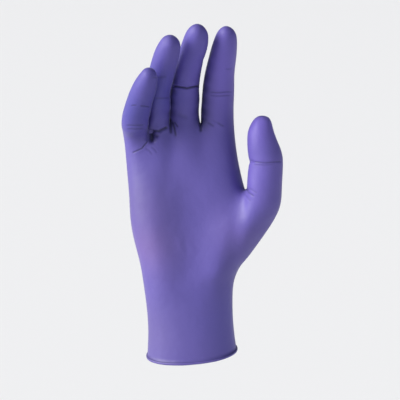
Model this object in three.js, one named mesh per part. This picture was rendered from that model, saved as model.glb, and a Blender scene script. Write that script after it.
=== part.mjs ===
// Disposable nitrile glove, a thin dipped film in its worn form, palm facing -Y, fingers up (+Z), thumb towards +X.
// One piece: cuff, palm, back, four fingers and thumb are one film, and the rolled bead round the cuff is the film's own edge.
// The film is a closed skin of quads laid through measured sections (a control cage), refined once by Catmull-Clark rounding,
// then given its thickness inwards. The origin is the middle of the wrist opening.
import * as THREE from "three";

// ---------------------------------------------------------------- driving sizes, millimetres
const WALL = 1.0; // film thickness as modelled
const BEAD_RADIUS = 1.2; // rolled bead at the cuff, section radius
const BEAD_CENTRE = -0.2; // bead centre from the film's outer face, outwards
const BEAD_DROP = 1.18; // bead centre below the end of the film
const BEAD_ANGLES = [45, -30, -105, 180]; // degrees, corners of the bead's section from the outside round to the inside
const FIT_ROUNDS = 5; // rounds that pull the rounded skin back onto the measured sections
const FIT_STEP = 0.9;
const FAIR_ROUNDS = 3; // rounds that even out the roots of the thumb and fingers
const NORMAL_ROUNDS = 3; // rounds that even out the directions in which the film gets its thickness
const FILM = { color: 0x6a5fae, roughness: 0.46, metalness: 0.0 };

const table = (columns, rows) =>
  rows.map((row) => Object.fromEntries(columns.map((name, k) => [name, row[k]])));

// Cuff and palm, from the bead up. Each row is one section across the hand:
// left edge (xl, zl), right edge (xr, zr) and their y, depth to the palm side and to the back, squareness of the oval,
// cup = how far the little-finger edge comes forward, thenar = height of the thumb's mound, at = its place across (-1..1),
// heel = height of the mound under the little finger, hollow = dip of the middle, open = how far the section runs on into the thumb.
const PALM = table(
  ["xl", "zl", "xr", "zr", "y", "palm", "back", "square", "cup", "thenar", "at", "heel", "hollow", "open"],
  [
    [-32.0, -2.1, 31.9, 3.2, 0.0, 23.6, 23.6, 2.15, 0.0, 0.0, 0.6, 0.0, 0.0, 0.0],
    [-31.3, 17.4, 29.9, 18.9, 0.0, 22.2, 22.3, 2.15, 0.0, 0.0, 0.6, 0.0, 0.0, 0.0],
    [-32.5, 36.0, 29.1, 36.0, 0.2, 20.4, 20.5, 2.25, 0.0, 0.2, 0.6, 0.3, 0.0, 0.0],
    [-34.5, 52.2, 30.0, 52.2, 0.8, 19.2, 19.2, 2.35, 0.2, 1.5, 0.62, 1.4, 0.3, 0.05],
    [-36.6, 65.1, 34.7, 62.9, 2.0, 18.6, 17.6, 2.45, 0.6, 4.0, 0.7, 2.4, 1.0, 0.35],
    [-39.6, 77.2, 35.6, 77.2, 3.4, 18.0, 16.4, 2.5, 1.0, 7.0, 0.88, 2.8, 1.6, 0.9],
    [-42.2, 89.3, 37.2, 90.0, 4.8, 17.6, 15.6, 2.6, 1.6, 11.0, 1.0, 2.8, 2.0, 1.0],
    [-43.5, 101.3, 38.4, 102.8, 6.2, 17.0, 15.0, 2.6, 2.3, 9.0, 1.15, 2.4, 2.2, 1.0],
    [-44.0, 114.0, 36.9, 120.0, 7.8, 16.2, 14.4, 2.6, 3.0, 5.0, 1.2, 1.8, 2.0, 0.6],
    [-45.4, 131.2, 32.8, 136.6, 9.9, 14.6, 13.7, 2.6, 3.8, 0.8, 1.2, 0.9, 0.9, 0.0],
  ],
);
// Nine columns run up the palm and nine up the back. Their places across, from -1 to 1, at the wrist and at the knuckles:
const COLUMNS = table(
  ["wrist", "knuckles"],
  [
    [-0.95, -0.94],
    [-0.78, -0.77],
    [-0.56, -0.56],
    [-0.29, -0.34],
    [0.0, -0.14],
    [0.29, 0.12],
    [0.56, 0.38],
    [0.78, 0.68],
    [0.95, 0.93],
  ],
);
const FIRST_WIDE_ROW = 3; // the columns start to move from their wrist places to their knuckle places here
const THUMB_LOW = 4; // the thumb opens out of the side between these two palm rows
const THUMB_HIGH = 8;
const KNUCKLE_MIDDLE = { x: -8.2, y: 12.0, z: 153.3 };
// Knuckle line, where the fingers start: one row for each column, its point on the palm side (f) and on the back (b).
const KNUCKLES = table(
  ["xf", "yf", "zf", "xb", "yb", "zb"],
  [
    [-45.2, 0.6, 148.8, -45.5, 11.6, 147.7],
    [-38.4, -3.0, 146.6, -39.8, 15.4, 146.3],
    [-30.2, -1.8, 151.5, -31.2, 13.8, 145.6],
    [-22.2, -0.2, 158.3, -23.6, 19.0, 150.1],
    [-14.2, 4.8, 159.3, -14.5, 17.0, 149.0],
    [-4.2, 0.6, 160.9, -4.5, 22.2, 152.4],
    [6.4, 7.4, 161.4, 6.4, 18.8, 151.5],
    [17.6, 2.4, 161.4, 17.9, 22.4, 153.1],
    [27.1, 5.8, 159.2, 27.5, 18.6, 152.3],
  ],
);
// Edges of the hand at the knuckle line, and the bottoms of the three webs between the fingers.
const SEAMS = table(
  ["name", "x", "y", "z"],
  [
    ["left", -46.6, 6.4, 148.5],
    ["web2", -30.5, 4.5, 154.5],
    ["web4", -15.3, 9.4, 165.3],
    ["web6", 6.3, 11.7, 163.5],
    ["right", 30.2, 12.4, 156.1],
  ],
);
// Finger and thumb sections from the root to the last ring before the tip:
// middle (x, y, z), half width, tilt of the section's width line in the front view (degrees), slant of that line in y,
// and the depth to the palm side and to the back.
const SECTION = ["x", "z", "half", "tilt", "y", "slant", "palm", "back"];
const DIGITS = [
  {
    name: "little",
    column: 0,
    tip: { x: -27.0, y: -29.6, z: 205.4 },
    sections: table(SECTION, [
      [-39.3, 159.6, 8.6, -1.0, 3.0, -1.9, 8.7, 8.4],
      [-39.0, 165.6, 9.0, -3.0, -2.6, -2.0, 8.8, 8.2],
      [-38.0, 171.3, 9.3, -6.0, -5.8, 0, 8.7, 8.0],
      [-35.7, 179.5, 8.9, -12.1, -11.4, 0, 8.5, 7.8],
      [-33.1, 187.3, 8.4, -18.1, -16.8, 0, 8.2, 7.4],
      [-30.2, 194.5, 7.6, -22.1, -21.8, 0, 7.6, 6.8],
      [-28.0, 200.2, 5.9, -22.1, -25.8, 0, 6.2, 5.6],
      [-27.2, 203.5, 4.1, -18.0, -28.2, 0, 4.4, 4.0],
    ]),
  },
  {
    name: "ring",
    column: 2,
    tip: { x: -13.6, y: -25.3, z: 226.5 },
    sections: table(SECTION, [
      [-23.2, 172.3, 7.8, 0.0, 6.4, -2.2, 8.9, 8.8],
      [-23.0, 178.6, 8.2, 0.0, 3.8, -2.6, 9.0, 8.7],
      [-22.9, 187.0, 8.4, -5.0, 0.2, -1.2, 9.1, 8.5],
      [-21.2, 196.4, 8.8, -11.0, -4.8, 0, 8.9, 8.1],
      [-18.5, 206.5, 8.7, -16.0, -11.2, 0, 8.6, 7.6],
      [-15.8, 215.3, 8.2, -19.9, -17.4, 0, 8.0, 7.0],
      [-13.6, 221.8, 6.7, -16.9, -21.8, 0, 6.6, 5.8],
      [-13.5, 224.5, 4.5, -9.9, -23.8, 0, 4.8, 4.4],
    ]),
  },
  {
    name: "middle",
    column: 4,
    tip: { x: 3.9, y: -18.2, z: 233.3 },
    sections: table(SECTION, [
      [-5.1, 171.0, 10.2, 0.0, 11.8, 0, 10.4, 9.5],
      [-5.2, 180.2, 10.5, 0.0, 10.8, -2.8, 10.2, 9.2],
      [-4.8, 189.6, 10.1, -3.0, 8.2, 0, 9.6, 9.0],
      [-3.1, 200.3, 9.6, -7.0, 4.6, 0, 9.3, 8.4],
      [-0.6, 210.3, 9.0, -11.9, -1.0, 0, 9.0, 8.0],
      [2.3, 219.6, 8.7, -12.9, -7.6, 0, 8.6, 7.4],
      [3.8, 226.9, 7.5, -5.9, -13.0, 0, 7.2, 6.2],
      [4.0, 231.0, 4.8, -1.0, -16.4, 0, 4.8, 4.4],
    ]),
  },
  {
    name: "index",
    column: 6,
    tip: { x: 23.2, y: -10.8, z: 231.9 },
    sections: table(SECTION, [
      [17.9, 171.0, 11.5, 0.0, 11.5, 0, 10.2, 10.0],
      [18.2, 178.9, 11.2, 0.0, 10.6, 0, 10.2, 9.8],
      [18.7, 189.5, 10.9, -3.0, 8.6, 0, 10.0, 9.4],
      [19.5, 199.5, 10.1, -5.0, 5.6, 0, 9.6, 8.8],
      [21.0, 208.7, 9.4, -7.0, 2.2, 0, 9.2, 8.2],
      [22.5, 217.9, 8.5, -7.9, -2.4, 0, 8.5, 7.3],
      [23.5, 225.4, 7.0, -4.0, -6.6, 0, 7.0, 6.0],
      [23.5, 229.4, 4.6, 0.0, -9.4, 0, 4.8, 4.2],
    ]),
  },
  {
    name: "thumb",
    column: null,
    tip: { x: 48.3, y: -6.3, z: 171.7 },
    sections: table(SECTION, [
      [38.6, 94.3, 24.9, -89.3, 1.0, -3.0, 18.4, 12.6],
      [42.1, 100.0, 21.0, -79.9, -1.2, -1.8, 16.8, 12.0],
      [46.7, 108.3, 17.0, -61.6, -4.4, -0.6, 14.6, 11.6],
      [50.0, 118.4, 15.3, -42.2, -7.0, 0.0, 12.4, 11.2],
      [50.8, 129.1, 13.2, -27.8, -8.2, 0.0, 11.2, 10.8],
      [51.2, 139.0, 11.8, -7.7, -8.8, 0.0, 10.7, 10.3],
      [50.2, 147.0, 11.6, -0.9, -8.8, 0.0, 10.6, 9.4],
      [48.4, 154.9, 10.2, 1.0, -8.4, 0.0, 10.0, 8.2],
      [47.5, 162.4, 8.4, 0.5, -7.6, 0.0, 8.6, 7.2],
      [48.3, 169.1, 5.5, 0.0, -6.8, 0.0, 5.6, 5.0],
    ]),
  },
];

// ---------------------------------------------------------------- the control cage
const vec = (x, y, z) => new THREE.Vector3(x, y, z);
const oval = (u, n) => Math.max(0, 1 - Math.abs(u) ** n) ** (1 / n);
const mound = (u, at, width) => Math.exp(-(((u - at) / width) ** 2));

function buildCage() {
  const points = [];
  const quads = [];
  const soft = new Map(); // points that are evened out, and how strongly
  const add = (p) => points.push(p.clone()) - 1;

  const middles = PALM.map((s) => vec((s.xl + s.xr) / 2, s.y, (s.zl + s.zr) / 2));
  const rows = PALM.map((s, i) => {
    const c = middles[i];
    const half = vec(s.xr - s.xl, 0, s.zr - s.zl).multiplyScalar(0.5);
    const above = i + 1 < PALM.length ? middles[i + 1] : vec(KNUCKLE_MIDDLE.x, KNUCKLE_MIDDLE.y, KNUCKLE_MIDDLE.z);
    const up = i ? above.clone().sub(middles[i - 1]) : vec(0, 0, 1);
    up.setX(0).normalize();
    const forward = vec(0, -up.z, up.y);
    const w = Math.min(1, Math.max(0, (i - FIRST_WIDE_ROW) / (PALM.length - FIRST_WIDE_ROW)));
    const at = (u, side) => {
      const v = side && u > 0 ? u * (1 - 0.12 * s.open) : u;
      let depth = 0;
      if (side > 0)
        depth =
          s.palm * oval(v, s.square) +
          s.thenar * mound(v, s.at, 0.4) +
          s.heel * mound(v, -0.62, 0.36) -
          s.hollow * mound(v, 0, 0.42);
      if (side < 0) depth = -s.back * oval(v, s.square);
      return c
        .clone()
        .addScaledVector(half, v)
        .addScaledVector(forward, depth)
        .add(vec(0, -s.cup * ((1 - v) / 2) ** 2, 0));
    };
    const places = COLUMNS.map((k) => k.wrist * (1 - w) + k.knuckles * w);
    const row = { L: add(at(-1, 0)) };
    places.forEach((u, k) => (row["f" + k] = add(at(u, 1))));
    if (i <= THUMB_LOW || i >= THUMB_HIGH) row.R = add(at(1, 0));
    places.forEach((u, k) => (row["b" + k] = add(at(u, -1))));
    return row;
  });
  const top = {};
  KNUCKLES.forEach((k, i) => (top["f" + i] = add(vec(k.xf, k.yf, k.zf))));
  KNUCKLES.forEach((k, i) => (top["b" + i] = add(vec(k.xb, k.yb, k.zb))));
  for (const s of SEAMS) top[s.name] = add(vec(s.x, s.y, s.z));
  top.L = top.left;
  top.R = top.right;
  rows.push(top);

  const round = ["L", ...COLUMNS.map((_, k) => "f" + k), "R", ...COLUMNS.map((_, k) => "b" + k).reverse()];
  for (let i = 0; i + 1 < rows.length; i++)
    round.forEach((a, k) => {
      const b = round[(k + 1) % round.length];
      if (i >= THUMB_LOW && i < THUMB_HIGH && (a === "R" || b === "R")) return; // the thumb's opening
      quads.push([rows[i][a], rows[i][b], rows[i + 1][b], rows[i + 1][a]]);
    });

  // A finger or the thumb: rings of points from the loop it grows out of, closed by a star of quads at its tip.
  const tube = (loop, digit) => {
    const thumb = digit.column === null;
    const n = loop.length;
    const root = loop.reduce((s, i) => s.add(points[i]), vec(0, 0, 0)).multiplyScalar(1 / n);
    const spine = [root, ...digit.sections.map((s) => vec(s.x, s.y, s.z)), vec(digit.tip.x, digit.tip.y, digit.tip.z)];
    let last = loop;
    digit.sections.forEach((s, k) => {
      const tilt = THREE.MathUtils.degToRad(s.tilt);
      const across = vec(s.half * Math.cos(tilt), s.slant, s.half * Math.sin(tilt));
      const along = spine[k + 2].clone().sub(spine[k]);
      if (thumb) along.y *= Math.min(1, k / 4);
      const forward = across.clone().cross(along.normalize()).normalize();
      const ring = loop.map((_, j) => {
        const t = Math.PI - (2 * Math.PI * j) / n;
        const depth = Math.sin(t) > 0 ? s.palm : s.back;
        return add(
          spine[k + 1].clone().addScaledVector(across, Math.cos(t)).addScaledVector(forward, depth * Math.sin(t)),
        );
      });
      ring.forEach((p, j) => {
        quads.push([last[j], last[(j + 1) % n], ring[(j + 1) % n], p]);
        if (thumb && k < 2 && j === 0) soft.set(p, 0.3);
        if (j % (n / 2) === 0) return;
        if (thumb && k < 3) soft.set(p, [0.5, 0.5, 0.4][k]);
        if (!thumb && k === 0) soft.set(p, 0.25);
      });
      last = ring;
    });
    const tip = add(spine[spine.length - 1]);
    for (let j = 0; j < n; j += 2) quads.push([tip, last[j], last[(j + 1) % n], last[(j + 2) % n]]);
  };
  for (const digit of DIGITS) {
    if (digit.column !== null) {
      const k = digit.column;
      const left = k === 0 ? "left" : "web" + k;
      const right = k === 6 ? "right" : "web" + (k + 2);
      tube(
        [left, "f" + k, "f" + (k + 1), "f" + (k + 2), right, "b" + (k + 2), "b" + (k + 1), "b" + k].map((a) => top[a]),
        digit,
      );
    } else {
      const [r4, r5, r6, r7, r8] = rows.slice(THUMB_LOW, THUMB_HIGH + 1);
      tube([r8.R, r8.f8, r7.f8, r6.f8, r5.f8, r4.f8, r4.R, r4.b8, r5.b8, r6.b8, r7.b8, r8.b8], digit);
    }
  }

  for (let i = THUMB_LOW; i <= THUMB_HIGH; i++)
    for (const side of "fb") {
      soft.set(rows[i][side + 8], 0.5);
      soft.set(rows[i][side + 7], 0.25);
    }
  for (const side of "fb")
    COLUMNS.forEach((_, k) => {
      soft.set(top[side + k], 0.25);
      soft.set(rows[PALM.length - 1][side + k], 0.2);
    });
  const near = points.map(() => new Set());
  for (const q of quads)
    q.forEach((a, k) => {
      near[a].add(q[(k + 1) % 4]);
      near[q[(k + 1) % 4]].add(a);
    });
  let fair = points;
  for (let r = 0; r < FAIR_ROUNDS; r++)
    fair = fair.map((p, i) => {
      if (!soft.has(i)) return p;
      const mean = vec(0, 0, 0);
      for (const j of near[i]) mean.add(fair[j]);
      return p.clone().lerp(mean.multiplyScalar(1 / near[i].size), soft.get(i));
    });
  return { points: fair, quads };
}

// ---------------------------------------------------------------- Catmull-Clark rounding
function edgesOf(quads) {
  const index = new Map();
  const edges = [];
  const faceEdges = quads.map((q) =>
    q.map((a, k) => {
      const b = q[(k + 1) % 4];
      const key = a < b ? a + "_" + b : b + "_" + a;
      if (!index.has(key)) index.set(key, edges.push({ a: Math.min(a, b), b: Math.max(a, b), faces: 0 }) - 1);
      edges[index.get(key)].faces++;
      return index.get(key);
    }),
  );
  return { edges, faceEdges };
}

// Where each point of a cage lands on the smooth skin.
function settled(points, quads) {
  const { edges } = edgesOf(quads);
  const count = points.map(() => 0);
  const around = points.map(() => vec(0, 0, 0));
  const across = points.map(() => vec(0, 0, 0));
  const rim = points.map(() => null);
  for (const { a, b, faces } of edges) {
    count[a]++;
    count[b]++;
    around[a].add(points[b]);
    around[b].add(points[a]);
    if (faces === 1)
      for (const [p, q] of [
        [a, b],
        [b, a],
      ])
        rim[p] = (rim[p] ?? vec(0, 0, 0)).add(points[q]);
  }
  for (const q of quads) q.forEach((a, k) => across[a].add(points[q[(k + 2) % 4]]));
  return points.map((p, i) => {
    const n = count[i];
    if (rim[i]) return p.clone().multiplyScalar(4).add(rim[i]).divideScalar(6);
    return p
      .clone()
      .multiplyScalar(n * n)
      .addScaledVector(around[i], 4)
      .add(across[i])
      .divideScalar(n * (n + 5));
  });
}

// Moves the cage until its smooth skin passes through the measured points.
function fitted(points, quads) {
  let cage = points.map((p) => p.clone());
  for (let r = 0; r < FIT_ROUNDS; r++) {
    const skin = settled(cage, quads);
    cage = cage.map((p, i) => p.clone().addScaledVector(points[i].clone().sub(skin[i]), FIT_STEP));
  }
  return cage;
}

function refined(points, quads) {
  const { edges, faceEdges } = edgesOf(quads);
  const centres = quads.map((q) => q.reduce((s, i) => s.add(points[i]), vec(0, 0, 0)).multiplyScalar(0.25));
  const sides = edges.map(() => vec(0, 0, 0));
  faceEdges.forEach((fe, f) => fe.forEach((e) => sides[e].add(centres[f])));
  const middles = edges.map(({ a, b }) => points[a].clone().add(points[b]).multiplyScalar(0.5));
  const onEdges = edges.map(({ faces }, e) =>
    faces === 2 ? middles[e].clone().multiplyScalar(2).add(sides[e]).multiplyScalar(0.25) : middles[e].clone(),
  );
  const count = points.map(() => 0);
  const around = points.map(() => vec(0, 0, 0));
  const faces = points.map(() => 0);
  const across = points.map(() => vec(0, 0, 0));
  const rim = points.map(() => null);
  edges.forEach(({ a, b, faces: n }, e) => {
    for (const [p, q] of [
      [a, b],
      [b, a],
    ]) {
      count[p]++;
      around[p].add(middles[e]);
      if (n === 1) rim[p] = (rim[p] ?? vec(0, 0, 0)).add(points[q]);
    }
  });
  quads.forEach((q, f) =>
    q.forEach((a) => {
      faces[a]++;
      across[a].add(centres[f]);
    }),
  );
  const kept = points.map((p, i) => {
    if (rim[i]) return p.clone().multiplyScalar(6).add(rim[i]).divideScalar(8);
    const n = count[i];
    return across[i]
      .clone()
      .divideScalar(faces[i])
      .addScaledVector(around[i], 2 / n)
      .addScaledVector(p, n - 3)
      .divideScalar(n);
  });
  const e0 = points.length;
  const c0 = e0 + edges.length;
  const next = [];
  quads.forEach((q, f) =>
    q.forEach((a, k) => next.push([a, faceEdges[f][k] + e0, f + c0, faceEdges[f][(k + 3) % 4] + e0])),
  );
  return { points: [...kept, ...onEdges, ...centres], quads: next };
}

// ---------------------------------------------------------------- the film: outer skin, inner skin and the bead between them
function normalsOf(points, quads) {
  const normals = points.map(() => vec(0, 0, 0));
  for (const [a, b, c, d] of quads) {
    const n = points[c].clone().sub(points[a]).cross(points[d].clone().sub(points[b]));
    for (const i of [a, b, c, d]) normals[i].add(n);
  }
  return normals.map((n) => n.normalize());
}

// Normals averaged with their neighbours', so that the inner skin stays smooth in the tight webs.
function evened(normals, quads) {
  let even = normals;
  for (let r = 0; r < NORMAL_ROUNDS; r++) {
    const sum = even.map((n) => n.clone());
    for (const q of quads)
      q.forEach((a, k) => sum[a].addScaledVector(even[q[(k + 1) % 4]], 0.25).addScaledVector(even[q[(k + 3) % 4]], 0.25));
    even = sum.map((n) => n.normalize());
  }
  return even;
}

function buildFilm() {
  const cage = buildCage();
  const fine = refined(fitted(cage.points, cage.quads), cage.quads);
  const outer = settled(fine.points, fine.quads);
  const normals = evened(normalsOf(outer, fine.quads), fine.quads);
  const points = [...outer, ...outer.map((p, i) => p.clone().addScaledVector(normals[i], -WALL))];
  const inside = outer.length;
  const quads = [...fine.quads, ...fine.quads.map((q) => q.map((i) => i + inside).reverse())];

  const { edges, faceEdges } = edgesOf(fine.quads);
  const rim = [];
  fine.quads.forEach((q, f) =>
    q.forEach((a, k) => edges[faceEdges[f][k]].faces === 1 && rim.push([a, q[(k + 1) % 4]])),
  );
  const ends = [...new Set(rim.flat())];
  let last = new Map(ends.map((i) => [i, i]));
  const strip = (next) => {
    for (const [a, b] of rim) quads.push([last.get(b), last.get(a), next.get(a), next.get(b)]);
    last = next;
  };
  for (const angle of BEAD_ANGLES) {
    const t = THREE.MathUtils.degToRad(angle);
    strip(
      new Map(
        ends.map((i) => {
          const out = vec(normals[i].x, normals[i].y, 0).normalize();
          const p = outer[i].clone().addScaledVector(out, BEAD_CENTRE + BEAD_RADIUS * Math.cos(t));
          p.z += BEAD_RADIUS * Math.sin(t) - BEAD_DROP;
          return [i, points.push(p) - 1];
        }),
      ),
    );
  }
  strip(new Map(ends.map((i) => [i, i + inside])));
  return { points, quads };
}

function skin({ points, quads }) {
  const index = [];
  for (const [a, b, c, d] of quads)
    if (points[a].distanceTo(points[c]) <= points[b].distanceTo(points[d])) index.push(a, b, c, a, c, d);
    else index.push(a, b, d, b, c, d);
  const geometry = new THREE.BufferGeometry();
  geometry.setAttribute("position", new THREE.Float32BufferAttribute(points.flatMap((p) => p.toArray()), 3));
  geometry.setIndex(index);
  geometry.computeVertexNormals();
  return geometry;
}

const glove = new THREE.Mesh(skin(buildFilm()), new THREE.MeshStandardMaterial(FILM));
glove.name = "glove";

const part = new THREE.Group();
part.add(glove);
export default part;
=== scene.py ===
import math

import bpy
import numpy as np
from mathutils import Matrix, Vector


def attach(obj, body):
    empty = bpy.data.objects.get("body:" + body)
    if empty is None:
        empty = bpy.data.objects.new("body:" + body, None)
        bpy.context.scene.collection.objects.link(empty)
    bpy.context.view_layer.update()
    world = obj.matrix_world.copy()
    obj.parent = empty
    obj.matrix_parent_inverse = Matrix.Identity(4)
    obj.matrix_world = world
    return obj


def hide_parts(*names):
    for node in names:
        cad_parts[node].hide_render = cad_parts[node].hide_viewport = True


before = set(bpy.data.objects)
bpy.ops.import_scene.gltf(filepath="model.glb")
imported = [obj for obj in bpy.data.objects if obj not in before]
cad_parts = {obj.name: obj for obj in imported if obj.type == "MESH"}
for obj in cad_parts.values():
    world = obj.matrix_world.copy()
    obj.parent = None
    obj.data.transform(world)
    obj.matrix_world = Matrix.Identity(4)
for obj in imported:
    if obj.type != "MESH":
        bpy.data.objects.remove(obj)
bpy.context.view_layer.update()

# The glove is one dipped film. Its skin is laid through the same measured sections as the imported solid, in millimetres,
# rounded further, and then given its thickness, its rolled bead, its creases and its finish. Everything is in the row frame:
# palm facing -Y, fingers up (+Z), thumb towards +X, origin in the middle of the wrist opening.
WALL = 1.0
BEAD_RADIUS = 1.2
BEAD_CENTRE = -0.2
BEAD_DROP = 1.18
BEAD_FIRST = 62  # degrees, where the bead's section leaves the outer face
BEAD_LAST = -182  # and where it meets the inner face
BEAD_STEPS = 13
FIT_ROUNDS = 5
FIT_STEP = 0.9
FAIR_ROUNDS = 3
NORMAL_ROUNDS = 6
MM = 0.001


def table(columns, rows):
    return [dict(zip(columns, row)) for row in rows]


PALM = table(
    ["xl", "zl", "xr", "zr", "y", "palm", "back", "square", "cup", "thenar", "at", "heel", "hollow", "open"],
    [
        [-32.0, -2.1, 31.9, 3.2, 0.0, 23.6, 23.6, 2.15, 0.0, 0.0, 0.6, 0.0, 0.0, 0.0],
        [-31.3, 17.4, 29.9, 18.9, 0.0, 22.2, 22.3, 2.15, 0.0, 0.0, 0.6, 0.0, 0.0, 0.0],
        [-32.5, 36.0, 29.1, 36.0, 0.2, 20.4, 20.5, 2.25, 0.0, 0.2, 0.6, 0.3, 0.0, 0.0],
        [-34.5, 52.2, 30.0, 52.2, 0.8, 19.2, 19.2, 2.35, 0.2, 1.5, 0.62, 1.4, 0.3, 0.05],
        [-36.6, 65.1, 34.7, 62.9, 2.0, 18.6, 17.6, 2.45, 0.6, 4.0, 0.7, 2.4, 1.0, 0.35],
        [-39.6, 77.2, 35.6, 77.2, 3.4, 18.0, 16.4, 2.5, 1.0, 7.0, 0.88, 2.8, 1.6, 0.9],
        [-42.2, 89.3, 37.2, 90.0, 4.8, 17.6, 15.6, 2.6, 1.6, 11.0, 1.0, 2.8, 2.0, 1.0],
        [-43.5, 101.3, 38.4, 102.8, 6.2, 17.0, 15.0, 2.6, 2.3, 9.0, 1.15, 2.4, 2.2, 1.0],
        [-44.0, 114.0, 36.9, 120.0, 7.8, 16.2, 14.4, 2.6, 3.0, 5.0, 1.2, 1.8, 2.0, 0.6],
        [-45.4, 131.2, 32.8, 136.6, 9.9, 14.6, 13.7, 2.6, 3.8, 0.8, 1.2, 0.9, 0.9, 0.0],
    ],
)
COLUMNS = table(
    ["wrist", "knuckles"],
    [
        [-0.95, -0.94],
        [-0.78, -0.77],
        [-0.56, -0.56],
        [-0.29, -0.34],
        [0.0, -0.14],
        [0.29, 0.12],
        [0.56, 0.38],
        [0.78, 0.68],
        [0.95, 0.93],
    ],
)
FIRST_WIDE_ROW = 3
THUMB_LOW = 4
THUMB_HIGH = 8
KNUCKLE_MIDDLE = (-8.2, 12.0, 153.3)
KNUCKLES = table(
    ["xf", "yf", "zf", "xb", "yb", "zb"],
    [
        [-45.2, 0.6, 148.8, -45.5, 11.6, 147.7],
        [-38.4, -3.0, 146.6, -39.8, 15.4, 146.3],
        [-30.2, -1.8, 151.5, -31.2, 13.8, 145.6],
        [-22.2, -0.2, 158.3, -23.6, 19.0, 150.1],
        [-14.2, 4.8, 159.3, -14.5, 17.0, 149.0],
        [-4.2, 0.6, 160.9, -4.5, 22.2, 152.4],
        [6.4, 7.4, 161.4, 6.4, 18.8, 151.5],
        [17.6, 2.4, 161.4, 17.9, 22.4, 153.1],
        [27.1, 5.8, 159.2, 27.5, 18.6, 152.3],
    ],
)
SEAMS = table(
    ["name", "x", "y", "z"],
    [
        ["left", -46.6, 6.4, 148.5],
        ["web2", -30.5, 4.5, 154.5],
        ["web4", -15.3, 9.4, 165.3],
        ["web6", 6.3, 11.7, 163.5],
        ["right", 30.2, 12.4, 156.1],
    ],
)
SECTION = ["x", "z", "half", "tilt", "y", "slant", "palm", "back"]
DIGITS = [
    {
        "name": "little",
        "column": 0,
        "tip": (-27.0, -29.6, 205.4),
        "sections": table(
            SECTION,
            [
                [-39.3, 159.6, 8.6, -1.0, 3.0, -1.9, 8.7, 8.4],
                [-39.0, 165.6, 9.0, -3.0, -2.6, -2.0, 8.8, 8.2],
                [-38.0, 171.3, 9.3, -6.0, -5.8, 0, 8.7, 8.0],
                [-35.7, 179.5, 8.9, -12.1, -11.4, 0, 8.5, 7.8],
                [-33.1, 187.3, 8.4, -18.1, -16.8, 0, 8.2, 7.4],
                [-30.2, 194.5, 7.6, -22.1, -21.8, 0, 7.6, 6.8],
                [-28.0, 200.2, 5.9, -22.1, -25.8, 0, 6.2, 5.6],
                [-27.2, 203.5, 4.1, -18.0, -28.2, 0, 4.4, 4.0],
            ],
        ),
    },
    {
        "name": "ring",
        "column": 2,
        "tip": (-13.6, -25.3, 226.5),
        "sections": table(
            SECTION,
            [
                [-23.2, 172.3, 7.8, 0.0, 6.4, -2.2, 8.9, 8.8],
                [-23.0, 178.6, 8.2, 0.0, 3.8, -2.6, 9.0, 8.7],
                [-22.9, 187.0, 8.4, -5.0, 0.2, -1.2, 9.1, 8.5],
                [-21.2, 196.4, 8.8, -11.0, -4.8, 0, 8.9, 8.1],
                [-18.5, 206.5, 8.7, -16.0, -11.2, 0, 8.6, 7.6],
                [-15.8, 215.3, 8.2, -19.9, -17.4, 0, 8.0, 7.0],
                [-13.6, 221.8, 6.7, -16.9, -21.8, 0, 6.6, 5.8],
                [-13.5, 224.5, 4.5, -9.9, -23.8, 0, 4.8, 4.4],
            ],
        ),
    },
    {
        "name": "middle",
        "column": 4,
        "tip": (3.9, -18.2, 233.3),
        "sections": table(
            SECTION,
            [
                [-5.1, 171.0, 10.2, 0.0, 11.8, 0, 10.4, 9.5],
                [-5.2, 180.2, 10.5, 0.0, 10.8, -2.8, 10.2, 9.2],
                [-4.8, 189.6, 10.1, -3.0, 8.2, 0, 9.6, 9.0],
                [-3.1, 200.3, 9.6, -7.0, 4.6, 0, 9.3, 8.4],
                [-0.6, 210.3, 9.0, -11.9, -1.0, 0, 9.0, 8.0],
                [2.3, 219.6, 8.7, -12.9, -7.6, 0, 8.6, 7.4],
                [3.8, 226.9, 7.5, -5.9, -13.0, 0, 7.2, 6.2],
                [4.0, 231.0, 4.8, -1.0, -16.4, 0, 4.8, 4.4],
            ],
        ),
    },
    {
        "name": "index",
        "column": 6,
        "tip": (23.2, -10.8, 231.9),
        "sections": table(
            SECTION,
            [
                [17.9, 171.0, 11.5, 0.0, 11.5, 0, 10.2, 10.0],
                [18.2, 178.9, 11.2, 0.0, 10.6, 0, 10.2, 9.8],
                [18.7, 189.5, 10.9, -3.0, 8.6, 0, 10.0, 9.4],
                [19.5, 199.5, 10.1, -5.0, 5.6, 0, 9.6, 8.8],
                [21.0, 208.7, 9.4, -7.0, 2.2, 0, 9.2, 8.2],
                [22.5, 217.9, 8.5, -7.9, -2.4, 0, 8.5, 7.3],
                [23.5, 225.4, 7.0, -4.0, -6.6, 0, 7.0, 6.0],
                [23.5, 229.4, 4.6, 0.0, -9.4, 0, 4.8, 4.2],
            ],
        ),
    },
    {
        "name": "thumb",
        "column": None,
        "tip": (48.3, -6.3, 171.7),
        "sections": table(
            SECTION,
            [
                [38.6, 94.3, 24.9, -89.3, 1.0, -3.0, 18.4, 12.6],
                [42.1, 100.0, 21.0, -79.9, -1.2, -1.8, 16.8, 12.0],
                [46.7, 108.3, 17.0, -61.6, -4.4, -0.6, 14.6, 11.6],
                [50.0, 118.4, 15.3, -42.2, -7.0, 0.0, 12.4, 11.2],
                [50.8, 129.1, 13.2, -27.8, -8.2, 0.0, 11.2, 10.8],
                [51.2, 139.0, 11.8, -7.7, -8.8, 0.0, 10.7, 10.3],
                [50.2, 147.0, 11.6, -0.9, -8.8, 0.0, 10.6, 9.4],
                [48.4, 154.9, 10.2, 1.0, -8.4, 0.0, 10.0, 8.2],
                [47.5, 162.4, 8.4, 0.5, -7.6, 0.0, 8.6, 7.2],
                [48.3, 169.1, 5.5, 0.0, -6.8, 0.0, 5.6, 5.0],
            ],
        ),
    },
]

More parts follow.
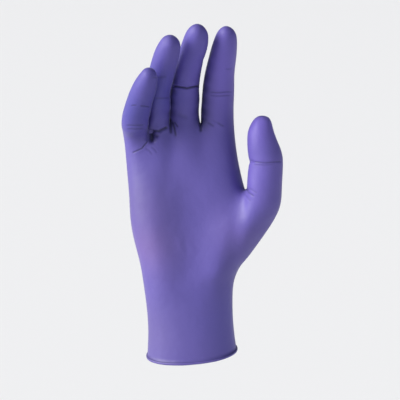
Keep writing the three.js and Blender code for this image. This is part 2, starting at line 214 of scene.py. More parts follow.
# ---------------------------------------------------------------- camera
# It stands in front of the palm, a little above, and is set back so that the glove fills the frame as a hand held up would.
AIM = np.array([5.84, 0.0, 111.3])
RISE = math.radians(12.0)
DISTANCE = 778.0
LENS = 100.0
EYE = AIM + DISTANCE * np.array([0.0, -math.cos(RISE), math.sin(RISE)])

camera_data = bpy.data.cameras.new("camera")
camera_data.lens = LENS
camera_data.sensor_width = 36.0
camera = bpy.data.objects.new("camera", camera_data)
bpy.context.scene.collection.objects.link(camera)
camera.location = Vector(EYE * MM)
camera.rotation_mode = "QUATERNION"
camera.rotation_quaternion = Vector((AIM - EYE) * MM).to_track_quat("-Z", "Y")
bpy.context.scene.camera = camera


def seen(points):
    """Front-view place of each point, in mm across and up from the aim point, in the plane through it that faces the eye."""
    back = (EYE - AIM) / DISTANCE
    right = np.array([1.0, 0.0, 0.0])
    up = np.cross(back, right)
    v = points - AIM
    depth = DISTANCE - v @ back
    return np.stack([DISTANCE * (v @ right) / depth, DISTANCE * (v @ up) / depth], 1)


# ---------------------------------------------------------------- the control cage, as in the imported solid
def oval(u, n):
    return max(0.0, 1 - abs(u) ** n) ** (1 / n)


def mound(u, at, width):
    return math.exp(-(((u - at) / width) ** 2))


def unit(v):
    return v / np.linalg.norm(v)


def build_cage():
    points, quads, soft = [], [], {}

    def add(p):
        points.append(np.array(p, float))
        return len(points) - 1

    middles = [np.array([(s["xl"] + s["xr"]) / 2, s["y"], (s["zl"] + s["zr"]) / 2]) for s in PALM]
    names = ["L"] + [f"f{k}" for k in range(9)] + ["R"] + [f"b{k}" for k in reversed(range(9))]
    rows = []
    for i, s in enumerate(PALM):
        c = middles[i]
        half = np.array([s["xr"] - s["xl"], 0.0, s["zr"] - s["zl"]]) / 2
        above = middles[i + 1] if i + 1 < len(PALM) else np.array(KNUCKLE_MIDDLE)
        up = above - middles[i - 1] if i else np.array([0.0, 0.0, 1.0])
        up[0] = 0.0
        up = unit(up)
        forward = np.array([0.0, -up[2], up[1]])
        w = min(1.0, max(0.0, (i - FIRST_WIDE_ROW) / (len(PALM) - FIRST_WIDE_ROW)))

        def at(u, side):
            v = u * (1 - 0.12 * s["open"]) if side and u > 0 else u
            depth = 0.0
            if side > 0:
                depth = (
                    s["palm"] * oval(v, s["square"])
                    + s["thenar"] * mound(v, s["at"], 0.4)
                    + s["heel"] * mound(v, -0.62, 0.36)
                    - s["hollow"] * mound(v, 0, 0.42)
                )
            if side < 0:
                depth = -s["back"] * oval(v, s["square"])
            return c + half * v + forward * depth + np.array([0.0, -s["cup"] * ((1 - v) / 2) ** 2, 0.0])

        places = [k["wrist"] * (1 - w) + k["knuckles"] * w for k in COLUMNS]
        row = {"L": add(at(-1, 0))}
        for k, u in enumerate(places):
            row[f"f{k}"] = add(at(u, 1))
        if i <= THUMB_LOW or i >= THUMB_HIGH:
            row["R"] = add(at(1, 0))
        for k, u in enumerate(places):
            row[f"b{k}"] = add(at(u, -1))
        rows.append(row)
    top = {}
    for i, k in enumerate(KNUCKLES):
        top[f"f{i}"] = add((k["xf"], k["yf"], k["zf"]))
    for i, k in enumerate(KNUCKLES):
        top[f"b{i}"] = add((k["xb"], k["yb"], k["zb"]))
    for s in SEAMS:
        top[s["name"]] = add((s["x"], s["y"], s["z"]))
    top["L"], top["R"] = top["left"], top["right"]
    rows.append(top)

    for i in range(len(rows) - 1):
        for k, a in enumerate(names):
            b = names[(k + 1) % len(names)]
            if THUMB_LOW <= i < THUMB_HIGH and "R" in (a, b):
                continue
            quads.append((rows[i][a], rows[i][b], rows[i + 1][b], rows[i + 1][a]))

    def tube(loop, digit):
        thumb = digit["column"] is None
        n = len(loop)
        root = sum(points[i] for i in loop) / n
        spine = [root] + [np.array([s["x"], s["y"], s["z"]]) for s in digit["sections"]] + [np.array(digit["tip"])]
        last = loop
        for k, s in enumerate(digit["sections"]):
            tilt = math.radians(s["tilt"])
            across = np.array([s["half"] * math.cos(tilt), s["slant"], s["half"] * math.sin(tilt)])
            along = spine[k + 2] - spine[k]
            if thumb:
                along[1] *= min(1.0, k / 4)
            forward = unit(np.cross(across, unit(along)))
            ring = []
            for j in range(n):
                t = math.pi - 2 * math.pi * j / n
                depth = s["palm"] if math.sin(t) > 0 else s["back"]
                ring.append(add(spine[k + 1] + across * math.cos(t) + forward * (depth * math.sin(t))))
            for j, p in enumerate(ring):
                quads.append((last[j], last[(j + 1) % n], ring[(j + 1) % n], p))
                if thumb and k < 2 and j == 0:
                    soft[p] = 0.3
                if j % (n // 2) == 0:
                    continue
                if thumb and k < 3:
                    soft[p] = (0.5, 0.5, 0.4)[k]
                if not thumb and k == 0:
                    soft[p] = 0.25
            last = ring
        tip = add(spine[-1])
        for j in range(0, n, 2):
            quads.append((tip, last[j], last[(j + 1) % n], last[(j + 2) % n]))

    for digit in DIGITS:
        k = digit["column"]
        if k is not None:
            left = "left" if k == 0 else f"web{k}"
            right = "right" if k == 6 else f"web{k + 2}"
            loop = [left, f"f{k}", f"f{k + 1}", f"f{k + 2}", right, f"b{k + 2}", f"b{k + 1}", f"b{k}"]
            tube([top[a] for a in loop], digit)
        else:
            r4, r5, r6, r7, r8 = rows[THUMB_LOW : THUMB_HIGH + 1]
            tube(
                [r8["R"], r8["f8"], r7["f8"], r6["f8"], r5["f8"], r4["f8"]]
                + [r4["R"], r4["b8"], r5["b8"], r6["b8"], r7["b8"], r8["b8"]],
                digit,
            )
    for i in range(THUMB_LOW, THUMB_HIGH + 1):
        for side in "fb":
            soft[rows[i][side + "8"]] = 0.5
            soft[rows[i][side + "7"]] = 0.25
    for side in "fb":
        for k in range(9):
            soft[top[f"{side}{k}"]] = 0.25
            soft[rows[len(PALM) - 1][f"{side}{k}"]] = 0.2
    near = [set() for _ in points]
    for q in quads:
        for k in range(4):
            near[q[k]].add(q[(k + 1) % 4])
            near[q[(k + 1) % 4]].add(q[k])
    fair = [p.copy() for p in points]
    for _ in range(FAIR_ROUNDS):
        fair = [
            p + soft[i] * (sum(fair[j] for j in near[i]) / len(near[i]) - p) if i in soft else p
            for i, p in enumerate(fair)
        ]
    return np.array(fair), np.array(quads)


# ---------------------------------------------------------------- Catmull-Clark rounding
def edges_of(quads):
    pairs = np.sort(np.stack([quads, np.roll(quads, -1, 1)], 2).reshape(-1, 2), 1)
    edges, inverse, faces = np.unique(pairs, axis=0, return_inverse=True, return_counts=True)
    return edges, inverse.reshape(-1, 4), faces


def gather(count, index, values):
    return np.stack([np.bincount(index, values[:, k], count) for k in range(3)], 1)


def settled(points, quads):
    edges, _, faces = edges_of(quads)
    n = len(points)
    a, b = edges.T
    degree = (np.bincount(a, minlength=n) + np.bincount(b, minlength=n)).astype(float)
    around = gather(n, a, points[b]) + gather(n, b, points[a])
    across = sum(gather(n, quads[:, k], points[quads[:, (k + 2) % 4]]) for k in range(4))
    inner = (points * degree[:, None] ** 2 + 4 * around + across) / (degree * (degree + 5))[:, None]
    ra, rb = edges[faces == 1].T
    rim = np.zeros(n, bool)
    rim[ra] = rim[rb] = True
    side = gather(n, ra, points[rb]) + gather(n, rb, points[ra])
    return np.where(rim[:, None], (4 * points + side) / 6, inner)


def fitted(points, quads):
    cage = points.copy()
    for _ in range(FIT_ROUNDS):
        cage = cage + FIT_STEP * (points - settled(cage, quads))
    return cage


def refined(points, quads):
    edges, face_edges, faces = edges_of(quads)
    n = len(points)
    centres = points[quads].mean(1)
    middles = points[edges].mean(1)
    sides = gather(len(edges), face_edges.ravel(), np.repeat(centres, 4, 0))
    on_edges = np.where((faces == 2)[:, None], (2 * middles + sides) / 4, middles)
    a, b = edges.T
    degree = (np.bincount(a, minlength=n) + np.bincount(b, minlength=n)).astype(float)
    around = gather(n, a, middles) + gather(n, b, middles)
    corners = np.bincount(quads.ravel(), minlength=n).astype(float)
    across = gather(n, quads.ravel(), np.repeat(centres, 4, 0))
    inner = (across / corners[:, None] + 2 * around / degree[:, None] + (degree - 3)[:, None] * points) / degree[:, None]
    ra, rb = edges[faces == 1].T
    rim = np.zeros(n, bool)
    rim[ra] = rim[rb] = True
    side = gather(n, ra, points[rb]) + gather(n, rb, points[ra])
    kept = np.where(rim[:, None], (6 * points + side) / 8, inner)
    e, c = n, n + len(edges)
    f = np.arange(len(quads)) + c
    children = np.stack(
        [np.stack([quads[:, k], face_edges[:, k] + e, f, face_edges[:, (k + 3) % 4] + e], 1) for k in range(4)], 1
    )
    return np.concatenate([kept, on_edges, centres]), children.reshape(-1, 4)


def normals_of(points, quads):
    n = np.cross(points[quads[:, 2]] - points[quads[:, 0]], points[quads[:, 3]] - points[quads[:, 1]])
    total = sum(gather(len(points), quads[:, k], n) for k in range(4))
    return total / np.maximum(1e-12, np.linalg.norm(total, axis=1, keepdims=True))


def evened(normals, quads):
    for _ in range(NORMAL_ROUNDS):
        near = sum(
            gather(len(normals), quads[:, k], normals[quads[:, (k + 1) % 4]] + normals[quads[:, (k + 3) % 4]])
            for k in range(4)
        )
        normals = normals + 0.25 * near
        normals = normals / np.linalg.norm(normals, axis=1, keepdims=True)
    return normals


# ---------------------------------------------------------------- creases, in front-view millimetres from the aim point
# Each row is one short line: from (x1, z1) by way of (x2, z2) to (x3, z3), how deep and how wide, how high its lips stand,
# and over what share of its length it fades out at each end.
CREASES = table(
    ["name", "x1", "z1", "x2", "z2", "x3", "z3", "depth", "width", "lip", "fade"],
    [
        ["middle joint", -18.9, 79.9, -9.1, 78.1, -0.2, 80.0, 0.72, 0.66, 0.30, 0.07],
        ["index joint upper", 5.6, 75.6, 14.0, 75.2, 23.1, 76.0, 0.20, 0.55, 0.30, 0.2],
        ["index joint lower", 6.0, 73.2, 14.0, 72.8, 22.6, 73.4, 0.18, 0.55, 0.30, 0.2],
        ["index tip joint", 17.5, 91.8, 20.0, 91.6, 22.6, 91.9, 0.12, 0.50, 0.20, 0.2],
        ["index base left", 4.6, 54.9, 7.8, 52.8, 10.9, 51.2, 0.20, 0.65, 0.30, 0.3],
        ["index base right", 11.6, 54.9, 14.8, 52.6, 18.0, 51.2, 0.20, 0.65, 0.30, 0.3],
        ["index base faint", 7.6, 56.4, 11.0, 54.6, 14.4, 53.4, 0.08, 0.60, 0.30, 0.3],
        ["little tip joint left", -48.3, 66.0, -46.0, 66.2, -44.1, 66.2, 0.20, 0.48, 0.30, 0.15],
        ["little tip joint right", -42.0, 65.8, -38.5, 65.7, -35.0, 65.1, 0.24, 0.52, 0.30, 0.15],
        ["little joint upper", -51.8, 52.2, -45.0, 52.2, -38.5, 52.8, 0.19, 0.52, 0.20, 0.15],
        ["little joint lower", -51.8, 49.6, -45.0, 49.6, -38.5, 50.3, 0.16, 0.50, 0.20, 0.15],
        ["little base", -35.8, 42.2, -40.6, 36.0, -47.8, 32.8, 0.27, 0.48, 0.08, 0.10],
        ["little base wrinkle", -38.6, 36.4, -35.4, 34.6, -32.8, 31.2, 0.13, 0.60, 0.30, 0.25],
        ["little base short", -34.6, 37.8, -31.9, 35.7, -29.6, 32.6, 0.13, 0.60, 0.30, 0.25],
        ["ring tip joint", -34.0, 85.9, -28.0, 85.6, -22.5, 86.5, 0.14, 0.55, 0.25, 0.2],
        ["ring joint", -33.5, 71.4, -27.0, 71.2, -20.5, 71.8, 0.16, 0.60, 0.25, 0.2],
        ["ring base", -35.6, 48.1, -28.7, 48.3, -22.2, 51.3, 0.68, 0.95, 0.35, 0.10],
        ["middle base left", -21.0, 58.6, -20.6, 52.4, -20.3, 45.8, 0.52, 0.75, 0.35, 0.15],
        ["middle base fold", -19.6, 56.2, -18.0, 50.0, -16.6, 43.8, 0.42, 0.70, 0.35, 0.2],
        ["middle base short", -18.2, 55.0, -16.6, 52.8, -15.2, 50.9, 0.28, 0.60, 0.30, 0.2],
        ["middle base soft", -17.2, 61.4, -12.6, 58.8, -7.2, 56.8, 0.24, 1.50, 0.30, 0.3],
        ["index web", 0.0, 56.6, 0.4, 52.0, 0.8, 47.2, 0.55, 0.85, 0.30, 0.15],
        ["thumb joint", 35.9, 26.8, 46.0, 25.9, 58.1, 27.2, 0.22, 0.58, 0.15, 0.12],
        ["thumb joint lower", 36.4, 24.9, 45.0, 24.4, 53.0, 25.2, 0.11, 0.55, 0.20, 0.2],
        ["thumb web", 31.4, 8.4, 34.4, 4.9, 38.2, 2.2, 0.20, 0.62, 0.12, 0.15],
        ["thumb web upper", 33.6, 8.8, 37.0, 6.6, 40.6, 4.6, 0.10, 0.60, 0.20, 0.2],
        ["thumb web lower", 30.6, 5.4, 33.2, 1.8, 36.0, -1.6, 0.10, 0.62, 0.20, 0.2],
    ],
)
# Broad dips (or swellings, where the depth is below zero), in the same view: along a line from (x1, z1) to (x2, z2).
# They go straight back ("back") or along the film's normal ("normal"), and shade says how much painted shade, the
# near-black crease tone, lies in them.
DENTS = table(
    ["name", "x1", "z1", "x2", "z2", "radius", "depth", "way", "shade"],
    [
        ["pit beside the little finger", -34.0, 47.4, -33.8, 42.6, 2.3, 3.4, "back", 1.0],
        ["pit beside the little finger, right", -33.6, 46.6, -30.4, 45.0, 1.6, 1.3, "back", 0.6],
        ["little and ring touch", -37.0, 53.0, -37.0, 41.5, 2.0, -0.55, "normal", 0.0],
        ["ring and middle touch", -21.0, 66.0, -21.0, 56.0, 1.8, -0.45, "normal", 0.0],
        ["valley of the palm", -19.8, 42.0, -24.0, 8.0, 5.0, 0.4, "back", 0.0],
        ["thumb joint notch", 33.9, 26.8, 36.4, 26.4, 1.4, 0.9, "normal", 0.0],
        ["corner of the thumb web", 31.4, 9.4, 33.2, 7.2, 1.0, 0.2, "back", 0.7],
        ["middle finger pinch", 1.5, 98.6, 0.6, 98.4, 1.8, 0.5, "normal", 0.0],
        ["palm bump left", -14.0, -29.0, -12.6, -33.0, 3.0, -0.3, "back", 0.0],
        ["palm bump right", -7.6, -31.0, -6.0, -35.0, 2.6, -0.22, "back", 0.0],
        ["dip between the bumps", -10.6, -30.0, -9.6, -34.0, 2.0, 0.15, "back", 0.0],
        ["wrist fold left", -30.0, -56.0, -12.0, -59.0, 3.5, 0.25, "back", 0.0],
        ["wrist fold right", 4.0, -60.0, 26.0, -55.0, 3.5, 0.25, "back", 0.0],
    ],
)


def along_line(place, ax, az, bx, bz):
    a, d = np.array([ax, az]), np.array([bx - ax, bz - az])
    length = np.linalg.norm(d)
    t = np.clip((place - a) @ d / length**2, 0, 1)
    return np.linalg.norm(place - a - t[:, None] * d, axis=1), t, length


def dented(points, normals):
    """Where the points of the whole film, inside and out, go, and how much painted shade lies in the dips."""
    place = seen(points)
    facing = facing_of(points, normals)
    backward = (AIM - EYE) / DISTANCE
    move = np.zeros_like(points)
    shade = np.zeros(len(points))
    for c in DENTS:
        d, _, _ = along_line(place, c["x1"], c["z1"], c["x2"], c["z2"])
        near = np.exp(-((d / c["radius"]) ** 2))
        if c["way"] == "back":
            amount = c["depth"] * near * np.clip(facing / 0.3, 0, 1)
            move += amount[:, None] * backward
        else:
            amount = c["depth"] * near * np.clip((facing + 0.3) / 0.3, 0, 1)
            move -= amount[:, None] * normals
        # painted shade: the dips darkened by their shade value
        shade = np.maximum(shade, c["shade"] * near * np.clip((facing + 0.1) / 0.2, 0, 1))
    return points + move, shade


def creased(place, facing):
    """How far each point moves along its normal, how much painted shade lies in its crease groove, and whether it needs
    a finer mesh.
    """
    move = np.zeros(len(place))
    painted_shade = np.zeros(len(place))
    near = np.zeros(len(place), bool)
    front = np.clip((facing - 0.05) / 0.2, 0, 1)
    for c in CREASES:
        d1, t1, l1 = along_line(place, c["x1"], c["z1"], c["x2"], c["z2"])
        d2, t2, l2 = along_line(place, c["x2"], c["z2"], c["x3"], c["z3"])
        first = d1 <= d2
        d = np.where(first, d1, d2)
        s = np.where(first, t1 * l1, l1 + t2 * l2) / (l1 + l2)
        ends = np.clip(np.minimum(s, 1 - s) / c["fade"], 0, 1)
        ends = ends * ends * (3 - 2 * ends)
        w = c["width"]
        groove = np.exp(-((d / w) ** 2))
        lips = np.exp(-(((d - 2.2 * w) / (1.1 * w)) ** 2))
        move += front * ends * c["depth"] * (c["lip"] * lips - groove)
        # painted shade: the crease grooves darkened, more so the deeper and narrower the crease
        painted_shade = np.maximum(painted_shade, front * ends * groove * min(1.0, 1.3 * c["depth"] / w))
        near |= (d < 3.4 * w) & (facing > 0.0)
    return move, painted_shade, near


# ---------------------------------------------------------------- the film
BASE_LEVEL = 3
FINE_LEVEL = 5
INSIDE_LEVEL = 2

cage_points, cage_quads = build_cage()
levels = [(fitted(cage_points, cage_quads), cage_quads)]
for _ in range(FINE_LEVEL):
    levels.append(refined(*levels[-1]))
def facing_of(points, normals):
    to_eye = EYE - points
    to_eye /= np.linalg.norm(to_eye, axis=1, keepdims=True)
    return np.einsum("ij,ij->i", normals, to_eye)


skin = settled(*levels[-1])
place = seen(skin)
skin, shade = dented(skin, normals_of(skin, levels[-1][1]))
skin_normals = normals_of(skin, levels[-1][1])
move, painted_shade, near = creased(place, facing_of(skin, skin_normals))
# painted shade: the dips' dark tone joins that of the creases
painted_shade = np.maximum(painted_shade, shade)
outer = skin + skin_normals * move[:, None]

base_quads = levels[BASE_LEVEL][1]
fine_quads = levels[FINE_LEVEL][1].reshape(len(base_quads), -1, 4)
marked = near[fine_quads].any((1, 2))


def edge_middle(level):
    """Looks up the point that rounding put on an edge of this level."""
    points, quads = levels[level]
    edges, _, _ = edges_of(quads)
    keys = edges[:, 0].astype(np.int64) * len(points) + edges[:, 1]

    def find(a, b):
        return len(points) + int(np.searchsorted(keys, min(a, b) * len(points) + max(a, b)))

    return find


half_way = edge_middle(BASE_LEVEL)
quarter_way = edge_middle(BASE_LEVEL + 1)
edges, face_edges, _ = edges_of(base_quads)
edge_marked = np.zeros(len(edges), bool)
edge_marked[face_edges[marked].ravel()] = True

faces = [tuple(q) for q in fine_quads[marked].reshape(-1, 4).tolist()]
for f in np.flatnonzero(~marked):
    q = base_quads[f].tolist()
    loop = []
    for k in range(4):
        a, b = q[k], q[(k + 1) % 4]
        loop.append(a)
        if edge_marked[face_edges[f, k]]:
            m = half_way(a, b)
            loop += [quarter_way(a, m), m, quarter_way(m, b)]
    faces.append(tuple(loop))

# The inner skin is coarser: it lies one wall inside the same points.
inside_points, inside_quads = levels[INSIDE_LEVEL]
count_inside = len(inside_points)
inward = evened(normals_of(skin[:count_inside], inside_quads), inside_quads)
points = [skin, skin[:count_inside] - WALL * inward]
first_inside = len(skin)
faces += [tuple(first_inside + i for i in reversed(q)) for q in inside_quads.tolist()]

# The rolled bead runs round the end of the film, from the outer skin to the inner one.
rim_edges, rim_face_edges, rim_faces = edges_of(base_quads)
rim = []
for f, k in zip(*np.nonzero(rim_faces[rim_face_edges] == 1)):
    rim.append((int(base_quads[f, k]), int(base_quads[f, (k + 1) % 4])))
ends = sorted({i for pair in rim for i in pair})
level_out = skin_normals[ends].copy()
level_out[:, 2] = 0
level_out /= np.linalg.norm(level_out, axis=1, keepdims=True)
turn = np.arctan2(skin[ends][:, 1], skin[ends][:, 0])
size = 1 + 0.035 * np.sin(3 * turn + 0.6) + 0.03 * np.sin(7 * turn + 2.0) + 0.02 * np.sin(13 * turn)
last = {i: i for i in ends}
bead_start = first_inside + count_inside
bead_count = 0
for step in range(BEAD_STEPS):
    t = math.radians(BEAD_FIRST + (BEAD_LAST - BEAD_FIRST) * step / (BEAD_STEPS - 1))
    ring = skin[ends] + level_out * (BEAD_CENTRE + BEAD_RADIUS * size * math.cos(t))[:, None]
    ring[:, 2] += BEAD_RADIUS * size * math.sin(t) - BEAD_DROP
    points.append(ring)
    this = {i: bead_start + bead_count + k for k, i in enumerate(ends)}
    bead_count += len(ends)
    faces += [(last[b], last[a], this[a], this[b]) for a, b in rim]
    last = this
after = {a: b for a, b in rim}
for a in ends:
    if a < count_inside:  # two bead steps to one of the inner skin
        m = after[a]
        b = after[m]
        faces.append((last[b], last[m], last[a], first_inside + a, first_inside + b))

points = np.concatenate([outer, *points[1:]])
# Painted shade on every point: the creases and dips, a narrow shadow line where the bead begins, and the bead's first
# two rings.
painted_shade_all = np.zeros(len(points))
painted_shade_all[: len(painted_shade)] = painted_shade
painted_shade_all[ends] = 0.28  # the narrow shadow line where the bead begins
painted_shade_all[bead_start : bead_start + 2 * len(ends)] = 0.5

used = np.zeros(len(points), bool)
flat = np.concatenate([np.array(f) for f in faces])
used[flat] = True
renumber = np.cumsum(used) - 1
sizes = np.array([len(f) for f in faces])
starts = np.concatenate([[0], np.cumsum(sizes)[:-1]])
corners = renumber[flat]
points = points[used] * MM
painted_shade_all = painted_shade_all[used]

mesh = bpy.data.meshes.new("film")
mesh.vertices.add(len(points))
mesh.vertices.foreach_set("co", points.astype(np.float32).ravel())
mesh.loops.add(len(corners))
mesh.loops.foreach_set("vertex_index", corners.astype(np.int32))
mesh.polygons.add(len(sizes))
mesh.polygons.foreach_set("loop_start", starts.astype(np.int32))
mesh.polygons.foreach_set("use_smooth", np.ones(len(sizes), bool))
mesh.update(calc_edges=True)
if mesh.validate():
    raise RuntimeError("the film has faulty faces")

# Soft patches of tone: where the film is stretched thin and skin warms it, and where the fingertips carry their fine
# grip. The other patches are painted light and shade: lighter on the thumb and index finger, lighter and bluer on the
# cuff's thumb side, less blue on the lit outer cuff and edge, darker and cooler on the fingers and the crest of the
# thumb mound, and near-black painted shadow along the index finger's inner side, between the fingers and at the
# fingertip ends.
ZONES = table(
    ["name", "into", "x", "y", "z", "radius", "amount"],
    [
        ["outer heel", "warm", -34.0, -16.0, 82.0, 20.0, 1.0],
        ["outer palm", "warm", -36.0, -12.0, 100.0, 18.0, 0.5],
        ["thumb mound", "warm", 32.0, -24.0, 96.0, 20.0, 0.35],
        ["little tip", "grip", -27.0, -29.0, 204.0, 16.0, 1.0],
        ["ring tip", "grip", -14.0, -25.0, 225.0, 18.0, 1.0],
        ["middle tip", "grip", 4.0, -18.0, 232.0, 18.0, 1.0],
        ["index tip", "grip", 23.0, -11.0, 231.0, 18.0, 1.0],
        ["thumb tip", "grip", 48.0, -7.0, 170.0, 18.0, 1.0],
        # painted light: lighter thumb and index finger
        ["thumb end", "light", 48.0, -10.0, 168.0, 20.0, 1.0],
        ["thumb", "light", 51.0, -14.0, 134.0, 22.0, 0.5],
        ["index finger", "light", 20.0, -2.0, 200.0, 30.0, 0.9],
        # painted light: a lighter, bluer patch on the cuff's thumb side
        ["cuff side", "blue", 30.0, -4.0, 24.0, 30.0, 0.25],
        # painted light: less blue where the key light falls on the outer cuff and outer edge
        ["outer cuff", "painted_lit_side_tint", -30.0, -6.0, 16.0, 30.0, 1.0],
        ["outer edge", "painted_lit_side_tint", -42.0, -2.0, 112.0, 22.0, 0.8],
        # painted shadow of the middle finger along the index finger's inner side
        ["index finger, inner side 1", "painted_deep_shade", 7.4, 8.0, 166.0, 5.6, 1.0],
        ["index finger, inner side 2", "painted_deep_shade", 7.7, 7.6, 173.0, 6.2, 1.0],
        ["index finger, inner side 3", "painted_deep_shade", 8.2, 6.8, 181.0, 6.4, 1.0],
        ["index finger, inner side 4", "painted_deep_shade", 8.8, 5.0, 189.0, 6.2, 0.95],
        ["index finger, inner side 5", "painted_deep_shade", 10.2, 2.8, 197.0, 5.8, 0.85],
        ["index finger, inner side 6", "painted_deep_shade", 12.0, 0.4, 205.0, 5.2, 0.6],
        ["index finger, inner side 7", "painted_deep_shade", 14.0, -2.6, 213.0, 4.8, 0.35],
        # painted shade: dark rims at the fingertip ends
        ["little end", "painted_deep_shade", -27.0, -30.0, 206.8, 4.0, 0.35],
        ["ring end", "painted_deep_shade", -13.6, -25.5, 228.2, 4.5, 0.35],
        ["middle end", "painted_deep_shade", 3.9, -18.0, 235.2, 5.0, 0.35],
        ["index end", "painted_deep_shade", 23.2, -10.5, 233.8, 5.0, 0.35],
        ["thumb tip end", "painted_deep_shade", 48.3, -6.3, 174.4, 5.6, 0.75],
        # painted shade between the ring and middle fingers and between the little and ring fingers
        ["ring and middle 1", "painted_deep_shade", -15.0, 4.6, 165.0, 3.6, 0.8],
        ["ring and middle 2", "painted_deep_shade", -14.8, 4.4, 172.0, 3.6, 0.9],
        ["ring and middle 3", "painted_deep_shade", -14.6, 3.6, 179.0, 3.6, 0.9],
        ["ring and middle 4", "painted_deep_shade", -14.2, 1.4, 187.0, 3.4, 0.8],
        ["ring and middle 5", "painted_deep_shade", -12.8, -2.0, 195.0, 3.2, 0.6],
        ["little and ring 1", "painted_deep_shade", -31.0, 1.0, 163.0, 3.2, 0.7],
        ["little and ring 2", "painted_deep_shade", -30.6, -1.4, 171.0, 3.2, 0.7],
        ["little and ring 3", "painted_deep_shade", -29.4, -5.4, 179.0, 3.0, 0.5],
        # painted shade: darker, cooler crest of the thumb mound and fingers
        ["crest of the thumb mound", "painted_cool_shade", 37.0, -22.0, 104.0, 12.0, 0.4],
        ["crest of the thumb mound, inner", "painted_cool_shade", 34.5, -21.5, 107.5, 7.0, 0.8],
        ["ring finger", "painted_cool_shade", -21.0, -8.0, 192.0, 26.0, 1.0],
        ["middle finger", "painted_cool_shade", -1.0, -2.0, 210.0, 24.0, 0.8],
        ["little finger", "painted_cool_shade", -37.0, -14.0, 178.0, 20.0, 0.8],
    ],
)
# Per-point tones. Apart from the warm tint and the grip, all of them are painted light and shade.
tones = {"painted_shade": painted_shade_all, **{name: np.zeros(len(points)) for name in ("warm", "grip", "light", "blue", "painted_lit_side_tint", "painted_cool_shade", "painted_deep_shade")}}
for z in ZONES:
    d = np.linalg.norm(points / MM - np.array([z["x"], z["y"], z["z"]]), axis=1) / z["radius"]
    tones[z["into"]] = np.maximum(tones[z["into"]], z["amount"] * np.exp(-(d**2)))
for name, values in tones.items():
    layer = mesh.attributes.new(name, "FLOAT", "POINT")
    layer.data.foreach_set("value", values.astype(np.float32))

film = bpy.data.objects.new("glove_film", mesh)
bpy.context.scene.collection.objects.link(film)


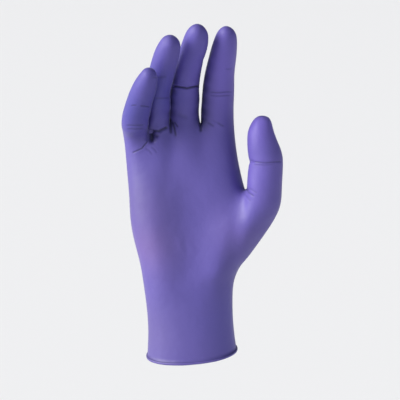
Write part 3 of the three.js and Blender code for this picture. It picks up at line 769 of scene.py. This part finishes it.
# ---------------------------------------------------------------- finish
def film_material():
    material = bpy.data.materials.new("nitrile_film")
    material.use_nodes = True
    tree = material.node_tree
    tree.nodes.clear()
    link = tree.links.new

    def node(kind, **values):
        n = tree.nodes.new(kind)
        for key, value in values.items():
            setattr(n, key, value)
        return n

    out = node("ShaderNodeOutputMaterial")
    shader = node("ShaderNodeBsdfPrincipled")
    link(shader.outputs["BSDF"], out.inputs["Surface"])
    coordinates = node("ShaderNodeTexCoord")

    def noise(scale, detail, rough=0.5):
        n = node("ShaderNodeTexNoise")
        n.inputs["Scale"].default_value = scale
        n.inputs["Detail"].default_value = detail
        n.inputs["Roughness"].default_value = rough
        link(coordinates.outputs["Object"], n.inputs["Vector"])
        return n.outputs["Fac"] if "Fac" in n.outputs else n.outputs[0]

    def ranged(value, low, high, to_low, to_high):
        n = node("ShaderNodeMapRange")
        n.inputs["From Min"].default_value = low
        n.inputs["From Max"].default_value = high
        n.inputs["To Min"].default_value = to_low
        n.inputs["To Max"].default_value = to_high
        link(value, n.inputs["Value"])
        return n.outputs["Result"]

    def tone(name):
        n = node("ShaderNodeAttribute", attribute_name=name)
        return n.outputs["Fac"]

    def mixed(amount, a, b):
        n = node("ShaderNodeMix", data_type="RGBA")
        link(amount, n.inputs[0])
        for socket, value in ((n.inputs[6], a), (n.inputs[7], b)):
            if isinstance(value, tuple):
                socket.default_value = value
            else:
                link(value, socket)
        return n.outputs[2]

    def maths(operation, a, b):
        n = node("ShaderNodeMath", operation=operation)
        for socket, value in zip(n.inputs, (a, b)):
            if isinstance(value, (int, float)):
                socket.default_value = value
            else:
                link(value, socket)
        return n.outputs[0]

    clouds = ranged(noise(28.0, 3.0), 0.3, 0.7, 0.0, 1.0)
    grain = ranged(noise(900.0, 2.0, 0.6), 0.3, 0.7, 0.0, 1.0)
    colour = mixed(clouds, (0.088, 0.068, 0.300, 1), (0.098, 0.075, 0.315, 1))
    colour = mixed(maths("MULTIPLY", tone("warm"), 0.5), colour, (0.185, 0.115, 0.30, 1))
    # painted light: less blue on the key-lit outer cuff and outer edge, where sheen pales the film
    colour = mixed(maths("MULTIPLY", tone("painted_lit_side_tint"), 0.9), colour, (0.094, 0.073, 0.245, 1))
    # painted shade: darker and cooler on the fingers and on the crest of the thumb mound
    colour = mixed(maths("MULTIPLY", tone("painted_cool_shade"), 0.9), colour, (0.045, 0.043, 0.272, 1))
    # painted light: lighter on the thumb and the index finger
    colour = mixed(maths("MULTIPLY", tone("light"), 0.8), colour, (0.148, 0.105, 0.475, 1))
    # painted light: lighter and bluer on the cuff's thumb side, as if lit by a bluish light from the right
    colour = mixed(maths("MULTIPLY", tone("blue"), 0.85), colour, (0.122, 0.116, 0.590, 1))
    # painted shade: near-black along the index finger's inner side, between the fingers and at the fingertip ends
    colour = mixed(maths("MULTIPLY", tone("painted_deep_shade"), 0.92), colour, (0.018, 0.017, 0.09, 1))
    colour = mixed(maths("MULTIPLY", grain, 0.10), colour, (0.065, 0.055, 0.24, 1))
    # painted shade: near-black in the creases, the dips and at the start of the bead
    colour = mixed(maths("MULTIPLY", tone("painted_shade"), 0.93), colour, (0.009, 0.009, 0.045, 1))
    link(colour, shader.inputs["Base Color"])
    rough = maths("ADD", ranged(noise(60.0, 2.0), 0.3, 0.7, 0.50, 0.58), maths("MULTIPLY", tone("grip"), 0.08))
    link(rough, shader.inputs["Roughness"])
    shader.inputs["IOR"].default_value = 1.5
    shader.inputs["Specular IOR Level"].default_value = 0.45
    shader.inputs["Sheen Weight"].default_value = 0.12
    shader.inputs["Sheen Roughness"].default_value = 0.4

    grip = maths("MULTIPLY", noise(1500.0, 1.0), maths("ADD", maths("MULTIPLY", tone("grip"), 0.9), 0.12))
    bump = node("ShaderNodeBump")
    bump.inputs["Strength"].default_value = 0.2
    bump.inputs["Distance"].default_value = 0.0004
    link(grip, bump.inputs["Height"])
    soft = node("ShaderNodeBump")
    soft.inputs["Strength"].default_value = 0.25
    soft.inputs["Distance"].default_value = 0.0015
    link(noise(110.0, 2.0), soft.inputs["Height"])
    link(soft.outputs["Normal"], bump.inputs["Normal"])
    link(bump.outputs["Normal"], shader.inputs["Normal"])
    return material


film.data.materials.append(film_material())
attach(film, "root")
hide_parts("glove")

# ---------------------------------------------------------------- floor and light
floor_mesh = bpy.data.meshes.new("floor")
W, DROP = 60.0, -0.62
floor_mesh.from_pydata([(-W, -W, DROP), (W, -W, DROP), (W, W, DROP), (-W, W, DROP)], [], [(0, 1, 2, 3)])
floor = bpy.data.objects.new("floor", floor_mesh)
bpy.context.scene.collection.objects.link(floor)
pale = bpy.data.materials.new("pale_floor")
pale.use_nodes = True
pale_shader = pale.node_tree.nodes["Principled BSDF"]
pale_shader.inputs["Base Color"].default_value = (0.82, 0.82, 0.85, 1)
pale_shader.inputs["Roughness"].default_value = 0.95
pale_shader.inputs["Specular IOR Level"].default_value = 0.1
floor.data.materials.append(pale)

world = bpy.data.worlds.new("studio")
bpy.context.scene.world = world
world.use_nodes = True
background = world.node_tree.nodes["Background"]
background.inputs["Color"].default_value = (0.84, 0.90, 1.0, 1)
background.inputs["Strength"].default_value = 0.175


def sun(name, azimuth, elevation, strength, softness, colour=(1, 1, 1)):
    data = bpy.data.lights.new(name, "SUN")
    data.energy = strength
    data.angle = math.radians(softness)
    data.color = colour
    lamp = bpy.data.objects.new(name, data)
    bpy.context.scene.collection.objects.link(lamp)
    a, e = math.radians(azimuth), math.radians(elevation)
    towards = Vector((math.sin(a) * math.cos(e), -math.cos(a) * math.cos(e), math.sin(e)))
    lamp.rotation_mode = "QUATERNION"
    lamp.rotation_quaternion = (-towards).to_track_quat("-Z", "Y")


sun("key", -72, 26, 6.0, 42, (1.0, 0.985, 0.93))
sun("fill", 30, 28, 0.60, 70, (0.84, 0.91, 1.0))
bpy.context.scene.view_settings.view_transform = "Standard"
